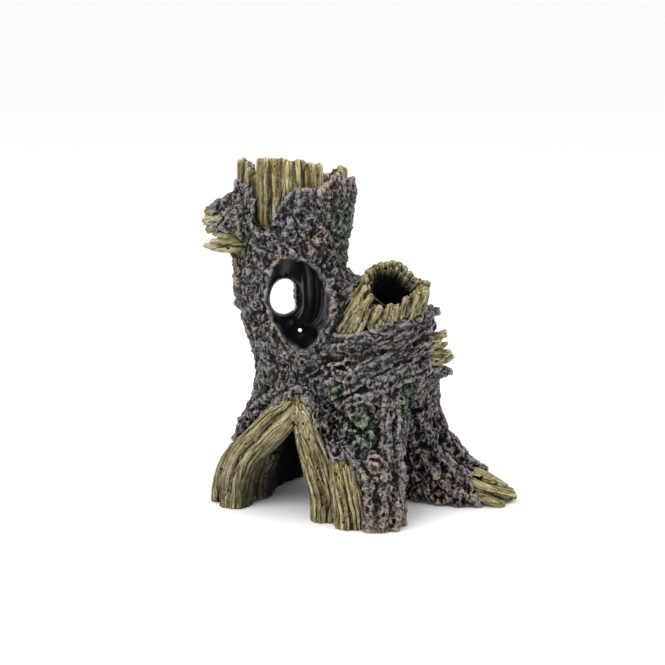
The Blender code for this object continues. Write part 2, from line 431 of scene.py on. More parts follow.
def cut_away(piece, centre, size, rotation=(0, 0, 0), round_one=True):
    """Cuts a cylinder or a block out of the piece, to make room for the bare wood."""
    deselect()
    add = bpy.ops.mesh.primitive_cylinder_add if round_one else bpy.ops.mesh.primitive_cube_add
    add(location=spot_on(*centre), rotation=rotation)
    cutter = bpy.context.object
    cutter.scale = [s / 2 * MM for s in size]
    bpy.ops.object.transform_apply(location=True, rotation=True, scale=True)
    apply(piece, "BOOLEAN", operation="DIFFERENCE", solver="EXACT", object=cutter)
    bpy.data.objects.remove(cutter)


# Room for the crown's slabs, the branch's splinters, the torn stub, the knob's wood and the root's tip,
# and a small light hole through the back wall, in line with the front window.
BRANCH_TILT = Vector(OUTWARD).to_track_quat("Z", "Y").to_euler()
cut_away(bark, (*CROWN_MIDDLE, 207), (80, 80, 38))
cut_away(bark, RIM + OUTWARD * 3.2, (46, 46, 25.4), BRANCH_TILT)
cut_away(bark, (57, -8, 94), (20, 40, 30), round_one=False)
cut_away(bark, (-35.3, 46, 94.5), (3.6, 3.6, 34), (math.radians(90 - 12.5), 0, 0))
cut_away(bark, (-96.5, 0, 170), (20, 40, 30), round_one=False)
cut_away(bark, (90, 0, 5), (30, 60, 40), round_one=False)
fuse(bark, SKIN_VOXEL, 6)

# Furrows between the shoulder's strands and down to the roots, as (x, z) seen from the front.
FURROWS = [
    [(-30, 94), (-12, 102), (8, 108.5), (28, 114), (42, 119)],
    [(-30, 84), (-8, 95), (13, 104), (30, 109), (42, 114)],
    [(-24, 77), (-4, 88), (16, 97), (32, 103), (40, 106)],
    [(-14, 70), (4, 79), (20, 87), (36, 92)],
    [(-20, 66), (-6, 58), (6, 50), (9, 44)],
    [(0, 72), (8, 60), (9, 48)],
    [(30, 70), (36, 52), (44, 36), (58, 22)],
]


def line_distance(points, line):
    """Distance in x and z to a line of (x, z) points."""
    flat, best = points[:, (0, 2)], np.full(len(points), 99.0)
    for a, b in zip(np.array(line, float), np.array(line[1:], float)):
        t = np.clip((flat - a) @ (b - a) / ((b - a) @ (b - a)), 0, 1)
        best = np.minimum(best, np.linalg.norm(flat - a - t[:, None] * (b - a), axis=1))
    return best


# Deep clefts: beside the branch, between the two roots, behind the torn stub and in the knob's neck.
# Each is (x, y, z, width, length, height, depth), and a negative depth is a swelling.
CLEFTS = [(-14.5, -24, 118, 4.5, 9, 12, 10), (46, 6, 72, 10, 16, 12, -4), (57, 4, 50, 10, 14, 12, -4.2),
          (33, 0, 146, 8, 12, 12, 0.6), (-9, -26, 124, 4, 8, 6, 4), (27, -18, 28, 3.5, 16, 24, 6),
          (38, -12, 95, 5, 10, 8, 5), (30, -16, 62, 3, 12, 14, 3), (-66, 2, 160, 4, 12, 4, 3),
          (-26, -20, 163, 6, 9, 2.5, 3), (-50, -16, 88, 5, 12, 5, 2), (12, -34, 30, 3, 12, 18, 1.5)]
points, normals = points_of(bark)
away_open = open_depth(points)
bare = bare_depth(points)
bulk = 1.6 * noise_at(points, 13.0, 4.0) + 2.0 * noise_at(points, 6.0, 9.0) - 0.3
for guide in FURROWS:
    bulk -= 2.4 * np.exp(-(line_distance(points, guide) / 1.7) ** 2) * step(6, -6, points[:, 1])
bulk += 1.3 * np.exp(-((bare + 2.6) / 1.8) ** 2)
for x, y, z, wide, long, high, deep in CLEFTS:
    bulk -= deep * np.exp(-((points - (x, y, z)) ** 2 / (np.array((wide, long, high)) ** 2)).sum(1))
on_stub = (points[:, 0] > 40) & (np.abs(points[:, 2] - 98) < 14)
sunk = np.where((crown_bare(points) > -3) | on_stub, 7.5, SEAT)
sunk = np.where(branch_bare(points) > -2, np.clip(away_open - 1.5, SEAT, 4.6), sunk)
height = bulk * step(-0.4, -1.0, bare) - sunk * step(-0.6, 0.2, bare)
height *= step(0.8, 3.0, away_open)
above_cave = points[:, 2] > 95  # up here the bark keeps 2.5 mm clear of the hollow
height = np.where(above_cave, np.maximum(height, np.minimum(2.5 - away_open, 0)), height)
height += 1.4 * noise_at(points, 11.0, 50.0) * step(1.5, 0.0, away_open)
rim_here = step(4.0, 0.5, np.abs(outside_outline(points, WINDOW))) * step(-6, -13, points[:, 1])
torn = 2.2 * noise_at(points, 5.5, 55.0) + 1.2 * noise_at(points, 2.6, 58.0) + 0.4
torn += 2.6 * np.exp(-((points[:, 0] + 20) / 5) ** 2 - ((points[:, 2] - 105) / 7) ** 2)
height += rim_here * torn
move_to(bark, points + normals * height[:, None])


def cord(pairs, radius, sink=1.0):
    """A strand of bark along (x, z) pairs on the casting's front, thinner at its ends."""
    count = len(pairs)
    return [(*on_front(x, z, sink), radius * (0.6 + 0.4 * math.sin(math.pi * (i + 0.5) / count)))
            for i, (x, z) in enumerate(pairs)]


def crown_place(turn, radius, z):
    """A point round the bole, at that many degrees from the front."""
    angle = math.radians(turn)
    return (CROWN_MIDDLE[0] + radius * math.sin(angle), CROWN_MIDDLE[1] - radius * math.cos(angle), z)


# The bark's lapped edge round the crown, in short upright strands.
lumps = []
for turn in range(-90, 270, 5):
    notch = -44 <= turn <= -12
    top = float(np.interp(turn, *zip(*CROWN_EDGE))) + dice.uniform(-1.2, 1.0) - 2 * notch
    radius = 2.8 + dice.uniform(-0.5, 0.7) - 0.6 * notch
    out = 32.6 + dice.uniform(-1.0, 0.8)
    lumps.append([(*crown_place(turn, out - 0.8, top - 16), radius),
                  (*crown_place(turn, out, top - 8), radius),
                  (*crown_place(turn + dice.uniform(-2, 2), out - 0.2, top - radius * 0.7), radius * 0.85)])
# Strands that sweep across the shoulder, laid between these guides.
SHOULDER = [
    [(-30, 101), (-15, 106), (4, 110), (22, 114), (41, 119.5)],
    [(-34, 88), (-12, 99), (10, 107), (27, 112), (42, 118)],
    [(-29, 80), (-6, 92), (15, 101), (30, 107), (41, 111)],
    [(-22, 73), (-4, 83), (14, 92), (30, 98), (41, 102)],
    [(-8, 68), (8, 75), (22, 81), (36, 84), (44, 85)],
]
for i in range(20):
    lane = i / 19 * (len(SHOULDER) - 1)
    k = min(int(lane), len(SHOULDER) - 2)
    first_end, last_end = dice.choice((0, 0, 0.25, 0.5)), dice.choice((1, 1, 0.75))
    path = []
    for share in np.linspace(first_end, last_end, 8):
        spots = [[np.interp(share, np.linspace(0, 1, 5), [p[axis] for p in guide]) for axis in (0, 1)]
                 for guide in (SHOULDER[k], SHOULDER[k + 1])]
        mix = lane - k
        path.append([(1 - mix) * a + mix * b + dice.uniform(-1, 1) for a, b in zip(*spots)])
    lumps.append(cord(path, dice.uniform(1.2, 2.3), 0.2))
# The lip under the branch's splinters, the bark round the torn stub, the bark's edges along the bare
# bands, and the ridges down the front and the right root.
lumps += [
    cord([(-9, 104), (-4, 105), (1, 106), (6, 111), (11, 115), (17, 117), (24, 117.5), (32, 118.5),
          (39, 120)], 3.0),
    [(26, -26, 116, 5), (34, -18, 117, 4.6), (40, -12, 117.5, 3.6), (44.5, -10, 118.5, 2.4)],
    [(30, -10, 108, 7), (38, -8, 108, 5), (43, -6, 109, 3)],
    [(30, -8, 82, 9), (40, -7, 82, 6), (48, -6, 81, 4), (53.5, -5, 81.5, 2.2)],
    [(30, -14, 100, 7), (38, -14, 101, 5), (41, -13, 102, 3.4)],
    cord([(-36, 79.5), (-46, 72.5), (-56, 63.5), (-66, 53.5)], 3.6, 1.6),
    cord([(-32, 76), (-25, 62), (-17, 47), (-8, 43), (-1, 35), (4, 26), (5, 12), (5, 0)], 3.2, 1.0),
    cord([(12, 74), (14, 46), (13, 20), (12, 0)], 4.2, 2.0),
    cord([(20, 70), (21, 42), (21, 16), (20, 0)], 3.6, 1.5),
    cord([(34, 58), (42, 38), (54, 24), (66, 18)], 3.8, 1.8),
    cord([(34, 34), (45, 18), (58, 9), (66, 5)], 3.8, 1.8),
    [(44, 8, 44, 6), (52, 6, 37, 5.5), (61, 3, 28, 4.2), (69, 2, 23.5, 2.8), (76, 3, 18.5, 2.0)],
]
# Rough edges on the back window, and the knob's bark.
lumps += [[(-36.6, 36, z, 1.6), (-37.4 + dice.uniform(-0.8, 0.4), 43, z, 2.2)]
          for z in (109, 112.5, 116, 119.5, 123)]
lumps += [
    [(-71, 2, 180, 5), (-78, 0, 178, 4.4), (-83, -1, 176, 3.6), (-86, -1, 172.5, 2.6)],
    [(-62, 2, 184, 5), (-67, 0, 187, 3.6), (-70, 0, 190, 2.6), (-71, 1, 192, 1.8)],
    [(-76, -6, 167, 5), (-82, -7, 166, 3), (-85, -7, 165, 2)],
]
# Smooth swellings inside the bole, between the back window and the branch's passage.
lumps += [
    [(-36, 33, 148, 2.4), (-31, 31.5, 136, 4.4), (-29.5, 31, 122, 4.8), (-31, 32, 108, 4),
     (-38, 33, 100, 2.4)],
    [(-21, 12, 128, 2), (-19.5, 8, 120, 3.2), (-21, 7, 112, 3), (-27, 8, 104, 2.4)],
]
# A torn edge of bark round the front window.
for a in np.linspace(0, 2 * math.pi, 34)[:-1]:
    x = -35.5 + 17.6 * math.cos(a) + dice.uniform(-0.5, 0.5)
    z = 124 + 27 * math.sin(a) + dice.uniform(-0.5, 0.5)
    lumps.append([(*on_front(x + 2.6 * math.cos(a), z + 2.4 * math.sin(a), 0.6), dice.uniform(1.2, 2.0)),
                  (*on_front(x + 4.2 * math.cos(a), z + 3.6 * math.sin(a), 0.9), 1.4)])
# Two chips of bark, one under the branch and one low on the front root: x, z, half the width, half
# the height, and how far each stands proud.
CHIPS = [(-10, 86.5, 5.8, 4.3, 1.8), (8, 38, 4.8, 4.6, 1.0)]
for x, z, wide, high, proud in CHIPS:
    ring = []
    for a in [k * math.pi / 4 for k in range(9)]:
        droop = 0.2 * wide * math.cos(a)
        ring.append((*on_front(x + wide * math.cos(a), z + high * math.sin(a) - droop, -proud), 1.15))
    lumps += [
        ring,
        [(*on_front(x - wide * 0.7, z + 1.2, -proud), 0.8), (*on_front(x, z + 0.4, -proud - 0.3), 1.1),
         (*on_front(x + wide * 0.7, z - 0.6, -proud), 1.0)],
        [(*on_front(x - wide * 0.6, z - 1.6, -proud), 0.9),
         (*on_front(x + wide * 0.4, z - 2.4, -proud), 1.1)],
    ]

strands = limbs("strands", lumps)
deselect()
strands.select_set(True)
bark.select_set(True)
bpy.context.view_layer.objects.active = bark
bpy.ops.object.join()
fuse(bark, BARK_VOXEL, 2)


def stretched(points, along, times):
    """The points drawn together along one direction, so that noise over them is drawn out there."""
    return points - np.outer(points @ along, along) * (1 - 1 / times)


def crumple(place, seed):
    """The bark's own relief in millimetres: crumpled folds in three sizes, and pits."""
    lumps = 1.0 * noise_at(place, 3.6, seed) + 0.6 * noise_at(place, 1.9, seed + 3)
    folds = 0.75 * folds_at(place, 2.9, 0.3, seed + 6) + 0.55 * folds_at(place, 1.7, 0.34, seed + 12)
    return lumps + folds - 2.2 * pits_at(place, 4.4, 0.1, 0.3, seed + 9) - 0.5


points, normals = points_of(bark)
away_open = open_depth(points)
bare = bare_depth(points)
on_rim = step(4.5, 1.0, np.abs(outside_outline(points, WINDOW))) * step(-9, -15, points[:, 1])
rugged = step(0.2, 1.8, away_open + 0.6 * noise_at(points, 3.0, 17.0) + 2.2 * on_rim)
rugged *= 1 - 0.6 * step(-0.7, 0.5, bare)
for x, z, *_ in CHIPS:
    on_chip = np.exp(-((points[:, 0] - x) / 5.5) ** 4 - ((points[:, 2] - z) / 4.5) ** 4)
    rugged *= 1 - 0.45 * on_chip * (points[:, 1] < 0)
drift = np.stack([noise_at(points, 6.0, s) for s in (1.3, 12.7, 25.1)], axis=1) * 2.0
upright = stretched(points + drift, UPRIGHT, 1.35)
slant = np.array((0.9, 0.1, 0.42)) / np.linalg.norm((0.9, 0.1, 0.42))
swept = stretched(points + drift, slant, 3.4)
on_shoulder = step(14, -10, points[:, 1])
on_shoulder *= np.exp(-((points[:, 0] - 12) / 32) ** 2 - ((points[:, 2] - 99) / 18) ** 2)
height = crumple(upright, 0.0)
strong = on_shoulder > 0.06
height[strong] += on_shoulder[strong] * (crumple(swept[strong], 40.0) - height[strong])
height *= 0.8 + 0.5 * noise_at(points, 11.0, 21.0)
furrows = folds_at(stretched(points + 1.5 * drift, UPRIGHT, 4.0), 7.0, 0.2, 33.0)
height -= furrows * (0.9 + 1.3 * step(-6, 18, points[:, 1])) * (1 - on_shoulder)
height *= rugged
above_cave = points[:, 2] > 95  # and 1.2 mm once it is crumpled
height = np.where(above_cave, np.maximum(height, np.minimum(1.2 - away_open, 0)), height)
move_to(bark, points + normals * height[:, None])
thin(bark, MOST_BARK)
move_to(bark, points_of(bark)[0])


def drop_crumbs(piece, least):
    """Takes off loose crumbs of fewer faces than that, and edges that more than two faces share."""
    mesh = bmesh.new()
    mesh.from_mesh(piece.data)
    while shared := [edge for edge in mesh.edges if len(edge.link_faces) > 2]:
        bmesh.ops.collapse(mesh, edges=shared)
    left, crumbs = set(mesh.faces), []
    while left:
        island = [left.pop()]
        for face in island:
            for edge in face.edges:
                for near in edge.link_faces:
                    if near in left:
                        left.discard(near)
                        island.append(near)
        if len(island) < least:
            crumbs += island
    bmesh.ops.delete(mesh, geom=crumbs, context="FACES")
    mesh.to_mesh(piece.data)
    mesh.free()


drop_crumbs(bark, 1000)

mark_relief(bark, 0.55, 1.9)
points, normals = points_of(bark)
away_open = open_depth(points)
blur = noise_at(points, 3.2, 3.0)
blotched_rim = 1.6 * np.clip(blur, 0, 1) * step(-8, -14, points[:, 1])
mark(bark, "lining", step(1.5, 0.9, away_open + 0.9 * blur + blotched_rim))
bare = bare_depth(points)
# Painted shade: bark sunk under the bare wood's edges is marked "under" and painted nearly black, as the
# shade in the gaps between bark and wood.
under = np.zeros(len(points))
for i in np.where(bare > -0.4)[0]:
    at, out, _, _ = skin.find_nearest(spot_on(*points[i]))
    under[i] = (spot_on(*points[i]) - at).dot(out) < -0.0011
mark(bark, "under", under * step(-0.4, 0.6, bare))
# Painted shade: the lining on the left foot's inner face, marked "foot", is painted a dark greenish grey,
# darkened as shade where it faces into the cave.
mark(bark, "foot", step(-38, -48, points[:, 0]) * step(40, 26, points[:, 2]) * step(32, -4, points[:, 1]))
# Painted shade: the lining at the back of the cave and far down the branch's bore is marked "cave" and
# painted nearly black, and made matte.
down_branch = depth_in(points, [[(20.5, -31, 140, 12), (9, -9, 106, 12)]])
cave = step(70, 54, points[:, 2]) * step(-44, -28, points[:, 1])
down = step(7, 14, (RIM - points) @ OUTWARD)
mark(bark, "cave", np.maximum(cave, down * step(9, 5, down_branch)))


def patches(spots):
    """How much of one of the (x, y, z, width, height) patches each point has, from 0 to 1."""
    best = np.zeros(len(points))
    for x, y, z, wide, high in spots:
        far = ((points - (x, y, z)) ** 2 / np.array((wide, 26, high)) ** 2).sum(1)
        best = np.maximum(best, np.exp(-far))
    return best


MOSS = [(-9, -10, 164, 9, 22), (-65, -4, 163, 5, 12), (-56, 0, 74, 5, 12), (1, -40, 56, 8, 15),
        (-14, -36, 74, 5, 7), (27, -24, 70, 6, 18), (-46, 30, 60, 14, 22), (10, 40, 90, 16, 20),
        (-66, 30, 140, 12, 24)]
WARM = [(-30, -20, 158, 18, 6), (-45, -20, 151, 8, 5), (12, -46, 12, 16, 22), (50, -6, 12, 24, 14),
        (-6, -30, 147, 6, 5), (-10, -38, 86.5, 6, 4.5), (8, -46, 38, 6, 6), (-8, -10, 188, 16, 9)]
mark(bark, "moss", patches(MOSS))
mark(bark, "warm", patches(WARM))


def read(name, output="Fac"):
    """What mark() stored on the mesh under that name."""
    return brush(tree, "Attribute", {"attribute_name": name}).outputs[output]


def rescale(value, low, high, first=0.0, last=1.0):
    """The value's stretch from low to high, as one from first to last."""
    ends = {"From_Min": low, "From_Max": high, "To_Min": first, "To_Max": last}
    return brush(tree, "MapRange", Value=value, **ends).outputs[0]


bark_paint, tree, shader = finish("bark_paint", 0.8, 0.2)
relief = read("relief")
swell = read("swell")
lining = read("lining")
cave_painted_shade = read("cave")
moss_here = read("moss")
warm_here = read("warm")
where = brush(tree, "TexCoord").outputs["Object"]
fine = mottle(where, 900.0, 3.0, 0.65)
crackle = brush(tree, "TexNoise", {"noise_type": "RIDGED_MULTIFRACTAL"}, Vector=where, Scale=420.0,
                Detail=2.0).outputs["Fac"]
patch = mottle(where, 230.0, 4.0, 0.65)
region = mottle(where, 60.0, 3.0)
crest_noise = mottle(where, 460.0, 2.0)


def math_node(operation, a, b, c=0.0, clamp=False):
    return brush(tree, "Math", {"operation": operation, "use_clamp": clamp}, i0=a, i1=b, i2=c).outputs[0]


def blend(factor, a, b):
    """The colour a where the factor is 0, and b where it is 1."""
    return brush(tree, "Mix", {"data_type": "RGBA"}, i0=factor, i6=a, i7=b).outputs[2]


fine_contrast = rescale(fine, 0.34, 0.66)
patch_contrast = rescale(patch, 0.34, 0.66)
height = math_node("MULTIPLY", relief, 0.46)
height = math_node("MULTIPLY_ADD", swell, 0.22, height)
height = math_node("MULTIPLY_ADD", fine_contrast, 0.24, height)
height = math_node("MULTIPLY_ADD", patch_contrast, 0.18, height)
crests = math_node("ABSOLUTE", math_node("SUBTRACT", crest_noise, 0.5), 0.0)
crests = rescale(crests, 0.0, 0.06, 1.0, 0.0)
height = math_node("MULTIPLY_ADD", crests, 0.16, height)
height = math_node("MULTIPLY_ADD", height, 1.32, -0.3, clamp=True)
# Each tint goes from the bottom of the bark's pits to its crests.
BARK_LEVELS = (0.2, 0.36, 0.49, 0.61, 0.75, 0.93)
MOSS_LEVELS = (0.2, 0.36, 0.5, 0.64, 0.8, 0.95)
COOL = ("0c0c0d", "1e1e20", "363638", "515053", "6b6a6d", "8c898d")
BROWN = ("0d0b0a", "211f1d", "3b3734", "595450", "787069", "989087")
ROSY = ("0f0b09", "291f1b", "483a33", "67544a", "8d7668", "ad9585")
GREEN = ("050805", "141c14", "263325", "445441", "6b795e", "8f967a")
cool, brown, rosy = [ramp(tree, height, list(zip(BARK_LEVELS, tints))) for tints in (COOL, BROWN, ROSY)]
green = ramp(tree, height, list(zip(MOSS_LEVELS, GREEN)))
split = rescale(region, 0.42, 0.58)
colour = blend(split, cool, brown)
blush = math_node("MULTIPLY_ADD", patch, 2.2, -1.15, clamp=True)
blush = math_node("MULTIPLY_ADD", warm_here, 0.75, blush, clamp=True)
spread = rescale(patch, 0.38, 0.58)
blush = math_node("MULTIPLY", blush, spread, clamp=True)
colour = blend(blush, colour, rosy)
thick = math_node("MULTIPLY_ADD", patch_contrast, 0.3, moss_here)
thick = math_node("MULTIPLY_ADD", fine_contrast, 0.3, thick)
thick = rescale(thick, 0.62, 1.15, 0.0, 0.85)
colour = blend(thick, colour, green)
inside_tone = ramp(tree, patch, [(0.3, "1f2023"), (0.6, "33343a"), (0.8, "4b4d54")])
# Painted shade: nearly black at the back of the cave and far down the branch's bore.
inside_tone = blend(cave_painted_shade, inside_tone, tint("030303"))
# The left foot's inner face: a greenish tone, darkened as painted shade.
foot_shade_here = read("foot")
shaded_foot_green = ramp(tree, patch, [(0.35, "1c1d17"), (0.5, "3a3b2f"), (0.65, "5a5a48")])
inside_tone = blend(foot_shade_here, inside_tone, shaded_foot_green)
colour = blend(lining, colour, inside_tone)
# Painted shade: nearly black on the bark sunk along the bare wood's edges.
under = read("under")
colour = blend(under, colour, tint("0c0a07"))
tree.links.new(colour, shader.inputs["Base Color"])
gloss = rescale(lining, 0.0, 1.0, 0.82, 0.36)
gloss = math_node("MULTIPLY_ADD", cave_painted_shade, 0.5, gloss, clamp=True)
tree.links.new(gloss, shader.inputs["Roughness"])
shine = rescale(lining, 0.0, 1.0, 0.2, 0.6)
shine = math_node("MULTIPLY_ADD", cave_painted_shade, -0.5, shine, clamp=True)
tree.links.new(shine, shader.inputs["Specular IOR Level"])
rough_skin = math_node("MULTIPLY_ADD", crackle, 0.5, fine)
bump_power = math_node("MULTIPLY_ADD", lining, -0.75, 0.85)
bump = brush(tree, "Bump", Strength=bump_power, Distance=0.0011, Height=rough_skin)
tree.links.new(bump.outputs[0], shader.inputs["Normal"])
bark.data.materials.clear()
bark.data.materials.append(bark_paint)
only(bark)
bpy.ops.object.shade_smooth()
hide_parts("stump")
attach(bark, "root")

# --- Crown ---------------------------------------------------------------------------------------
# The broken top of the bole: a ring of fluted slabs of bare wood, cast with the rest and painted olive
# yellow, dark in its grooves. The wide slab at the front is the tallest. The bark laps over its foot.

WOOD_VOXEL = 0.5


def stand(piece):
    """Cuts the piece flat where it meets the ground."""
    only(piece)
    bpy.ops.object.mode_set(mode="EDIT")
    bpy.ops.mesh.select_all(action="SELECT")
    bpy.ops.mesh.bisect(plane_co=(0, 0, 0), plane_no=(0, 0, 1), clear_inner=True, use_fill=True,
                        threshold=1e-6)
    bpy.ops.object.mode_set(mode="OBJECT")


def frame_along(guide):
    """The guide's points, and two directions across it at each."""
    spine = np.array([g[:3] for g in guide], float)
    along = np.gradient(spine, axis=0)
    along /= np.linalg.norm(along, axis=1)[:, None]
    reference = np.array((0.2, -1.0, 0.3))
    first = reference - along * (along @ reference)[:, None]
    first /= np.linalg.norm(first, axis=1)[:, None]
    return spine, first, np.cross(along, first)


def bundle(guide, ridges, ridge, twist=0.0):
    """Spines of ridges laid round a guide of (x, y, z, radius) points, and of the core in them."""
    spine, first, second = frame_along(guide)
    radii = np.array([g[3] for g in guide], float)
    spines = [[(*p, r - 0.55 * ridge) for p, r in zip(spine, radii)]]
    for i in range(ridges):
        turn = math.tau * i / ridges + dice.uniform(-0.1, 0.1)
        proud = dice.uniform(-0.5, 0.35)
        thick = ridge * dice.uniform(0.7, 1.25)
        path = []
        for k, (p, r) in enumerate(zip(spine, radii)):
            bend = turn + math.radians(twist) * k / len(guide) + dice.uniform(-0.04, 0.04)
            out = (r - 0.75 * ridge + proud) * (math.cos(bend) * first[k] + math.sin(bend) * second[k])
            path.append((*(p + out), thick * (0.4 + 0.6 * r / radii.max())))
        spines.append(path)
    return spines


def grain_of(guide):
    """A function that gives points their place across and along the guide."""
    spine, first, second = frame_along(guide)
    lengths = np.concatenate(([0], np.cumsum(np.linalg.norm(np.diff(spine, axis=0), axis=1))))

    def place(points):
        best = np.full(len(points), 1e9)
        out = np.zeros((len(points), 3))
        for k in range(len(spine) - 1):
            run = spine[k + 1] - spine[k]
            t = (points - spine[k]) @ run / (run @ run)
            t = np.clip(t, 0 if k else None, 1 if k < len(spine) - 2 else None)
            away = points - (spine[k] + t[:, None] * run)
            far = np.linalg.norm(away, axis=1)
            near = far < best
            mix = np.clip(t, 0, 1)[:, None]
            a = (away * ((1 - mix) * first[k] + mix * first[k + 1])).sum(1)
            b = (away * ((1 - mix) * second[k] + mix * second[k + 1])).sum(1)
            u = lengths[k] + t * (lengths[k + 1] - lengths[k])
            out[near] = np.stack((a, b, u), axis=1)[near]
            best[near] = far[near]
        return out
    return place


def carve_grain(piece, grain, depth):
    """Cuts grooves along the grain and a few pinholes, and stores the grain for the paint."""
    points, normals = points_of(piece)
    place = grain(points)
    wavy = place + 0.5 * noise_at(points, 9.0, 2.0)[:, None] * np.array((1, 1, 0))
    height = -depth * folds_at(wavy / np.array((1, 1, 9)), 3.4, 0.16, 3.1)
    height -= 0.55 * depth * folds_at(wavy / np.array((1, 1, 8)), 1.7, 0.2, 8.4)
    height += 0.7 * depth * noise_at(wavy / np.array((1, 1, 5)), 5.0, 5.7)
    height += 0.12 * noise_at(points, 1.3, 6.0)
    pits = pits_at(place / np.array((1, 1, 1.5)), 5.0, 0.08, 0.17, 1.9)
    move_to(piece, points + normals * (height - pits)[:, None], lowest=-math.inf)
    mark(piece, "grain", place * np.array((1.0, 1.0, 0.1)))
    mark(piece, "pits", pits)


wood_paint, tree, shader = finish("bare_wood_paint", 0.62, 0.22)
relief = read("relief")
swell = read("swell")
pits = read("pits")
shade = read("shade")
grain = read("grain", "Vector")
where = brush(tree, "TexCoord").outputs["Object"]
streak = mottle(grain, 1.3, 4.0, 0.65)
strip = mottle(grain, 0.32, 2.0)
blotch = mottle(where, 150.0, 4.0, 0.6)
strip_contrast = rescale(strip, 0.36, 0.64)
height = math_node("MULTIPLY", relief, 0.60)
height = math_node("MULTIPLY_ADD", swell, 0.44, height)
height = math_node("MULTIPLY_ADD", streak, 0.50, height)
height = math_node("MULTIPLY_ADD", blotch, 0.45, height)
height = math_node("MULTIPLY_ADD", strip_contrast, 0.22, height)
height = math_node("SUBTRACT", height, 0.63, clamp=True)
WOOD_LEVELS = (0.1, 0.26, 0.4, 0.52, 0.66, 0.8, 0.95)
OLIVE = ("15110a", "2f2717", "52472a", "72673f", "928856", "b0a778", "ccc59f")
GREY = ("141310", "2e2b22", "524c3c", "726a56", "938b72", "b1aa92", "ccc7b4")
colour, grey = [ramp(tree, height, list(zip(WOOD_LEVELS, tints))) for tints in (OLIVE, GREY)]
greyer = rescale(blotch, 0.42, 0.6, 0.0, 0.8)
colour = blend(greyer, colour, grey)
colour = blend(pits, colour, tint("0d0b07"))
colour = blend(shade, colour, tint("08080a"))
tree.links.new(colour, shader.inputs["Base Color"])
rough = rescale(streak, 0.0, 1.0, 0.5, 0.8)
tree.links.new(rough, shader.inputs["Roughness"])
bump = brush(tree, "Bump", Strength=0.5, Distance=0.0006, Height=streak)
grit = mottle(where, 1300.0, 2.0)
bump = brush(tree, "Bump", Strength=0.3, Distance=0.0003, Height=grit, Normal=bump.outputs[0])
tree.links.new(bump.outputs[0], shader.inputs["Normal"])


def cave_shade(points):
    """How far back in the cave the points are, from 0 to 1."""
    return step(17, 3, depth_in(points, HOLLOW[:3]))


def finish_wood(piece, grain, most, depth=0.6, shade=cave_shade):
    """The last steps for a bundle: fused, rounded, grained, cut to the ground, marked and painted."""
    fuse(piece, WOOD_VOXEL, 2)
    carve_grain(piece, grain, depth)
    thin(piece, most)
    if points_of(piece)[0][:, 2].min() < 0:
        stand(piece)
    mark_relief(piece, 0.4, 1.2)
    mark(piece, "shade", shade(points_of(piece)[0]))
    only(piece)
    bpy.ops.object.shade_smooth()
    piece.data.materials.clear()
    piece.data.materials.append(wood_paint)
    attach(piece, "root")


CROWN_RADIUS = 28.3
# Slabs: first and last direction in degrees from the front, and the top's height at each.
SLABS = [(-43, -15, 205.5, 205.5), (-10, 9, 205, 204.6), (13, 31, 204.4, 202.5), (37, 44, 197, 196),
         (64, 84, 196, 199), (89, 110, 198, 196), (116, 146, 194, 191), (152, 186, 191, 190),
         (193, 226, 190, 193), (233, 262, 193, 196), (268, 283, 201, 203.5), (289, 303, 203.5, 200),
         (308, 313, 195, 194)]


def crown_grain(points):
    """The points' places round, out and up the crown."""
    x, y = points[:, 0] - CROWN_MIDDLE[0], points[:, 1] - CROWN_MIDDLE[1]
    return np.stack((np.arctan2(x, -y) * CROWN_RADIUS, np.hypot(x, y), points[:, 2]), axis=1)


staves = []
for first, last, top_first, top_last in SLABS:
    count = max(2, round((last - first) / 5.2) + 1)
    for i in range(count):
        share = i / (count - 1)
        turn = first + (last - first) * share
        top = top_first + (top_last - top_first) * share + dice.uniform(-0.6, 0.5)
        out = CROWN_RADIUS + dice.choice((-1.1, -0.3, 0.3, 0.6)) + (2.2 if 262 < turn < 305 else 0)
        edge = 0.8 if i in (0, count - 1) else 0
        thick = dice.uniform(1.6, 2.3)
        staves.append([(*crown_place(turn, out - 1, 158), thick), (*crown_place(turn, out, 184), thick),
                       (*crown_place(turn + dice.uniform(-1, 1), out - edge, top - 1.4), thick * 0.9),
                       (*crown_place(turn, out - edge, top - 0.3), thick * 0.6)])
        inner = out - 3.2
        bend = dice.uniform(-1, 1)
        inner_top = top - 1.6 - dice.uniform(0, 1.2)
        staves.append([(*crown_place(turn + 2, inner, 158), 2.8), (*crown_place(turn + 2, inner, 186), 2.8),
                       (*crown_place(turn + bend, inner, inner_top), 2.3)])
# Low staves behind the bark's step, left of the wide slab.
for turn in range(-56, -42, 3):
    staves.append([(*crown_place(turn, 27, 158), 2.4), (*crown_place(turn, 28, 176), 2.2),
                   (*crown_place(turn, 28, 188), 1.6)])
crown = limbs("crown_wood", staves)
finish_wood(crown, crown_grain, 160000, 0.55,
            lambda points: 0.85 * step(26.5, 23.0, np.hypot(points[:, 0] + 38, points[:, 1] - 14)))

# --- Branch mouth --------------------------------------------------------------------------------
# The broken side branch: a ring of finger-like splinters round its bore. The bark is peeled back
# furthest on the side of the window, and laps over the splinters' feet.

RIM_RADIUS = 16.3
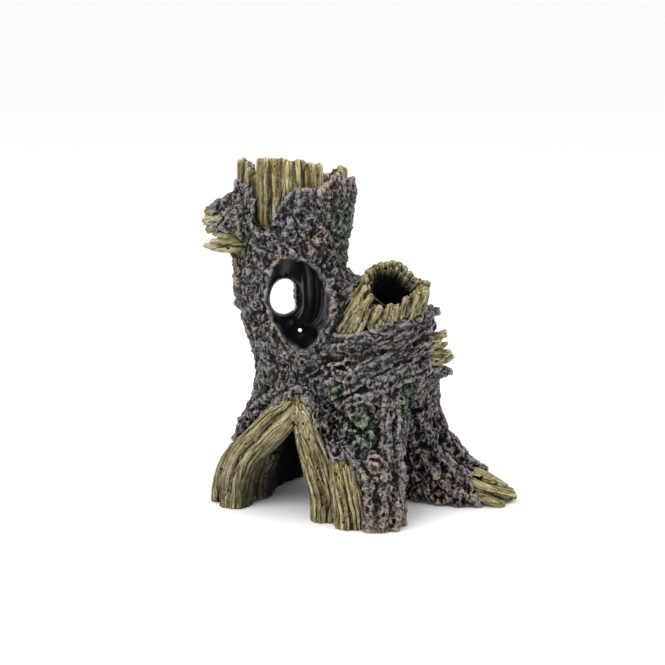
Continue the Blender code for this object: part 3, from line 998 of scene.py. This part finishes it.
# Splinters: direction of the tip in degrees round the rim, how far down the branch the tip is, direction
# of the foot, thickness, and how far the tip leans out.
SPLINTERS = [
    (182, -0.5, 177, 2.5, 2.4), (190, 4, 188, 1.6, 0.4), (198, 3.5, 197, 2.5, 1.6), (207, 7.5, 206, 1.6, 0.1),
    (215, 5, 214, 2.5, 1.4), (227, 10, 223, 1.6, 0), (240, 8, 232, 2.5, 1.2), (249, 11.5, 243, 1.6, 0),
    (257, 4, 254, 2.2, 0.7), (265, 4.5, 262, 1.9, 0.3), (273, 3, 270, 2.1, 0.7), (283, -3.2, 279, 2.4, 1.2),
    (292, -0.5, 288, 1.7, 0), (301, -6.5, 298, 2.4, 0.8), (310, -2.5, 307, 1.8, 0.1),
    (320, -6, 317, 2.3, 0.8), (331, -1.5, 330, 1.9, -0.2), (343, -1.5, 343, 2.3, 0.6),
    (355, 1, 355, 1.9, 0), (7, -0.5, 7, 2.4, 0.9),
    (18, 2.5, 18, 2.2, 0), (32, 5, 32, 2.3, 0.2), (45, 6.2, 45, 2.1, -0.3), (58, 5, 58, 2.3, 0),
    (72, 3, 72, 2.2, 0), (84, 1.2, 84, 2.4, 0), (98, 0.3, 98, 2.3, 0.3), (111, 1.5, 111, 2.2, 0),
    (124, 1, 124, 2.4, 0), (138, 1.2, 138, 2.3, 0), (153, 0.5, 153, 2.4, 0), (168, -1, 168, 2.5, 0.6),
]


def branch_point(turn, depth, radius):
    """A point round the branch, that far down from its rim and out from its axis."""
    angle = math.radians(turn)
    return RIM - OUTWARD * depth + radius * (math.cos(angle) * ACROSS + math.sin(angle) * UP_BACK)


def branch_skin(turn, depth):
    """How far the casting's skin is from the branch's axis there."""
    axis, out = branch_point(turn, depth, 0), branch_point(turn, depth, 48)
    hit = skin.ray_cast(spot_on(*out), Vector(axis - out).normalized())[0]
    radius = (hit - spot_on(*axis)).length / MM if hit else 18.0
    most = 18.2 + 0.24 * depth if 172 < turn < 345 else 18.0
    return min(max(radius, 17.0), most)


def branch_grain(points):
    """The points' places round, out and along the branch."""
    away = points - RIM
    x, y, z = away @ ACROSS, away @ UP_BACK, away @ OUTWARD
    return np.stack((np.arctan2(y, x) * RIM_RADIUS, np.hypot(x, y), z), axis=1)


def finger(turn, tip, foot, thick, lean):
    """One splinter from its tip down the branch, dipping under the bark where that begins."""
    path = [(*branch_point(turn, tip, RIM_RADIUS + lean), thick * 0.62),
            (*branch_point(turn, tip + 1.8, RIM_RADIUS + lean), thick)]
    for depth in range(int(tip) + 6, 46, 4):
        way = turn + (foot - turn) * min(1, (depth - tip) / 28)
        under = branch_bare(branch_point(way, depth, 18)[None])[0] < -1
        radius = branch_skin(way, depth) - 0.5 * thick - (SEAT if under else 0)
        radius += lean * max(0, 1 - (depth - tip) / 16)
        path.append((*branch_point(way, depth, radius), thick))
        if under:
            break
    return path


fingers = [finger(*splinter) for splinter in SPLINTERS]
tips_round = sorted((turn, tip) for turn, tip, *_ in SPLINTERS)
# A lower inner ring lines the bore, and thick staves close the gaps under the long splinters.
for turn in range(0, 360, 15):
    low = float(np.interp(turn, *zip(*tips_round))) + dice.uniform(2.6, 4.6)
    fingers.append([(*branch_point(turn, low, RIM_RADIUS - 1.4), 1.7),
                    (*branch_point(turn + 2, low + 4, RIM_RADIUS - 2), 2.1),
                    (*branch_point(turn + dice.uniform(-4, 4), low + 12, RIM_RADIUS - 2.2), 2.2),
                    (*branch_point(turn + dice.uniform(-4, 4), 25, RIM_RADIUS - 2.4), 2.4)])
for turn in range(170, 222, 9):
    fingers.append([(*branch_point(turn, depth, radius), thick)
                    for depth, radius, thick in ((14, 14.8, 2.6), (24, 17.4, 2.8), (38, 21, 3.4))])
branch = limbs("branch_wood", fingers)


def branch_shade(points):
    """Black down the bore, sooner on the side of the bole, and dim between the splinters' feet."""
    away = points - RIM
    across, up, depth = away @ ACROSS, away @ UP_BACK, -(away @ OUTWARD)
    radius = np.hypot(across, up)
    side = across / np.maximum(radius, 1)
    inner = step(16.2, 14.6, radius)
    fade = step(0, 1, (depth - 3 - 3 * side) / (9 + 3 * side))
    return np.maximum(0.1 + 0.9 * inner * fade, 0.6 * step(26, 38, depth))


finish_wood(branch, branch_grain, 150000, 0.6, branch_shade)

# --- Arch bands and left foot --------------------------------------------------------------------
# Two fluted bands of bare wood meet in a point over the arch. The left one runs down to the left
# foot, and the right one ends in two strips beside the front root.

LEFT_BAND = [(-33, -19, 71, 4.5), (-42, -22, 61.5, 8.6), (-53.5, -17.5, 48, 9.6), (-65, -12, 34, 9.6),
             (-71.5, -6.5, 19, 9.6), (-73.5, -3, -5, 9.4)]
OUTER_RIDGE = [(-64, -5, 45, 2.2), (-74.5, -3, 33.5, 3.2), (-81.5, 1, 19, 3.6), (-84.3, 3, 3, 3.8),
               (-84.3, 3, -5, 3.8)]
RIGHT_BAND = [(-37, -22, 73, 2.6), (-32, -26, 54, 6.4), (-25.5, -29.5, 34, 8.6), (-20.5, -30.5, 14, 9),
              (-20, -29.5, -5, 9)]
INNER_STRIP = [(-13.5, -30, 44, 4.8), (-8.5, -37, 25, 8.8), (-5.5, -41, 8, 9.6), (-5.5, -41.5, -5, 9.6)]
# Upright ridges on the foot's inner face, where it is in sight through the arch.
inner_face = [[(*on_front(x + max(0, z - 14) * 0.35, z, 0.6), 2.3) for z in (1, 9, 17, 25, 32)]
              for x in (-66, -63, -60, -57, -54.5)]
inner_face = [path for path in inner_face if max(point[1] for point in path) < 20]
left_ridges = bundle(LEFT_BAND, 26, 1.6, 25) + bundle(OUTER_RIDGE, 9, 1.4)
left_band = limbs("left_band", left_ridges + inner_face)


def foot_shade(points):
    """Darker on the left foot's inner side and in the cave."""
    middle = np.interp(points[:, 2], [-5, 19, 34, 48], [-75, -73, -66, -54])
    inner = 0.6 * step(-1, 8, points[:, 0] - middle) * step(46, 26, points[:, 2])
    return np.maximum(0.1 + inner, cave_shade(points))


finish_wood(left_band, grain_of(LEFT_BAND), 100000, 0.6, foot_shade)
right_band = limbs("right_band", bundle(RIGHT_BAND, 18, 1.7))
finish_wood(right_band, grain_of(RIGHT_BAND), 70000, 0.65)
inner_strip = limbs("inner_strip", bundle(INNER_STRIP, 18, 1.8, -25))
finish_wood(inner_strip, grain_of(INNER_STRIP), 60000, 0.65)

# --- Root tip, torn stub and knob ----------------------------------------------------------------
# Where the bark ends on the right root, on the torn stub above it and on the knob at the upper left,
# the wood shows as a few frayed fingers.

ROOT_TIP = [(60, 3, 15, 9), (72, 1, 11, 8), (82, 0, 7, 5.5), (91, 3, 4, 3.5)]
tips = [
    [(58, 3, 12, 10), (70, 2, 9, 8.5), (80, 2, 6, 6), (86, 3, 3, 3.5)],
    [(60, 0, 20, 4), (72, -1, 17, 3.8), (82, 0, 11.5, 3.2), (88, 1, 9, 2.2)],
    [(62, -4, 15, 3.8), (73, -7, 11, 3.4), (83, -5, 8, 2.8), (91.5, -2, 5, 2.6)],
    [(66, -6, 8, 3.4), (75, -9.5, 5, 3.2), (82, -9.5, 2.5, 2.6), (85.5, -8.5, 1.5, 1.8)],
    [(66, -4, 8, 5), (78, -4, 4.5, 4.2), (87, -1, 3, 3.4), (92.5, 3, 2.5, 2.4)],
    [(64, 6, 14, 4), (76, 6, 10, 3.6), (86, 7, 6, 3), (92, 8, 4, 2.2)],
    [(64, 10, 8, 4), (76, 11, 5, 3.4), (84, 12, 3, 2.4)],
]
root_tip = limbs("root_tip", tips)
finish_wood(root_tip, grain_of(ROOT_TIP), 60000, 0.6)

STUB = [(32, -8, 96, 9), (42, -8, 97, 7), (52, -7, 98, 4)]
torn = [
    [(34, -9, 98, 5), (42, -10, 100, 3.6), (46.5, -9, 104, 2.4), (49.5, -8, 106, 1.4)],
    [(34, -6, 99, 5), (42, -5, 101, 4), (47, -4, 102, 2.4), (50, -3, 102, 1.4)],
    [(34, -11, 94, 5), (42, -12, 93, 3.6), (48, -11, 93, 2.8), (52, -10, 94, 1.6)],
    [(34, -7, 90, 5), (43, -7, 89, 3.6), (49, -7, 88.5, 2.8), (54, -6, 91, 1.6)],
    [(34, -4, 95, 5), (42, -2, 95, 4), (47, 0, 95, 2.6), (51, 1, 97, 1.5)],
    [(34, -13, 89, 4), (42, -13, 88, 3), (47, -12, 87, 2)],
    [(36, -8, 96, 6), (42, -8, 95, 5), (46, -8, 94, 3)],
    [(34, -9, 97, 5), (41, -10, 98, 4.4), (45.5, -9.5, 99.5, 3.2)],
    [(36, -12, 92, 4), (42, -12, 91, 4), (47.5, -11, 90, 3)],
]
stub = limbs("torn_stub", torn)
finish_wood(stub, grain_of(STUB), 50000, 0.5)

KNOB = [(-70, 4, 169, 12), (-80, 3, 169, 10), (-90, 1, 168, 7)]
knob_ends = [
    [(-74, 2, 174, 6), (-82, 0, 174, 3.6), (-86.5, -1, 174.5, 3), (-88.5, -1, 175.5, 2.2)],
    [(-74, -3, 170, 5), (-82, -4, 169.5, 3.6), (-87, -4, 169, 3), (-89.5, -3, 168, 2.2)],
    [(-74, 0, 166, 6), (-82, -1, 165, 4), (-86, -1, 163.5, 3), (-88, -1, 161.8, 2)],
    [(-74, 6, 170, 6), (-82, 6, 171, 4.2), (-87, 5, 171.5, 3), (-88.7, 5, 172.5, 2)],
    [(-74, 4, 164, 5), (-82, 4, 162, 4), (-85, 3, 160.5, 2.4)],
    [(-74, 9, 166, 5), (-81, 9, 166, 4), (-86, 9, 167, 2.2)],
]
knob = limbs("knob_wood", knob_ends)
finish_wood(knob, grain_of(KNOB), 50000, 0.5)

SPLINTER = [(-62, -2, 155, 6), (-74, -5, 154.5, 5), (-89, -5, 153, 2)]
splinter = limbs("knob_splinter", [
    [(-64, -2, 153.5, 3.8), (-73, -4, 153, 3.2), (-82, -5, 153.6, 2.4), (-89.5, -4, 155, 1.4)],
    [(-64, -2, 158, 3.6), (-73, -4, 159.5, 2.8), (-79, -5, 160.8, 2.2), (-83.5, -4, 162, 1.4)],
    [(-64, -3, 156, 3.6), (-74, -5, 156.5, 2.6), (-81, -5, 157, 2.0), (-86, -4.5, 157.5, 1.3)],
    [(-64, 2, 155, 3.6), (-74, 1, 155, 3.0), (-82, 0, 155, 2.0)],
])
finish_wood(splinter, grain_of(SPLINTER), 40000, 0.45)
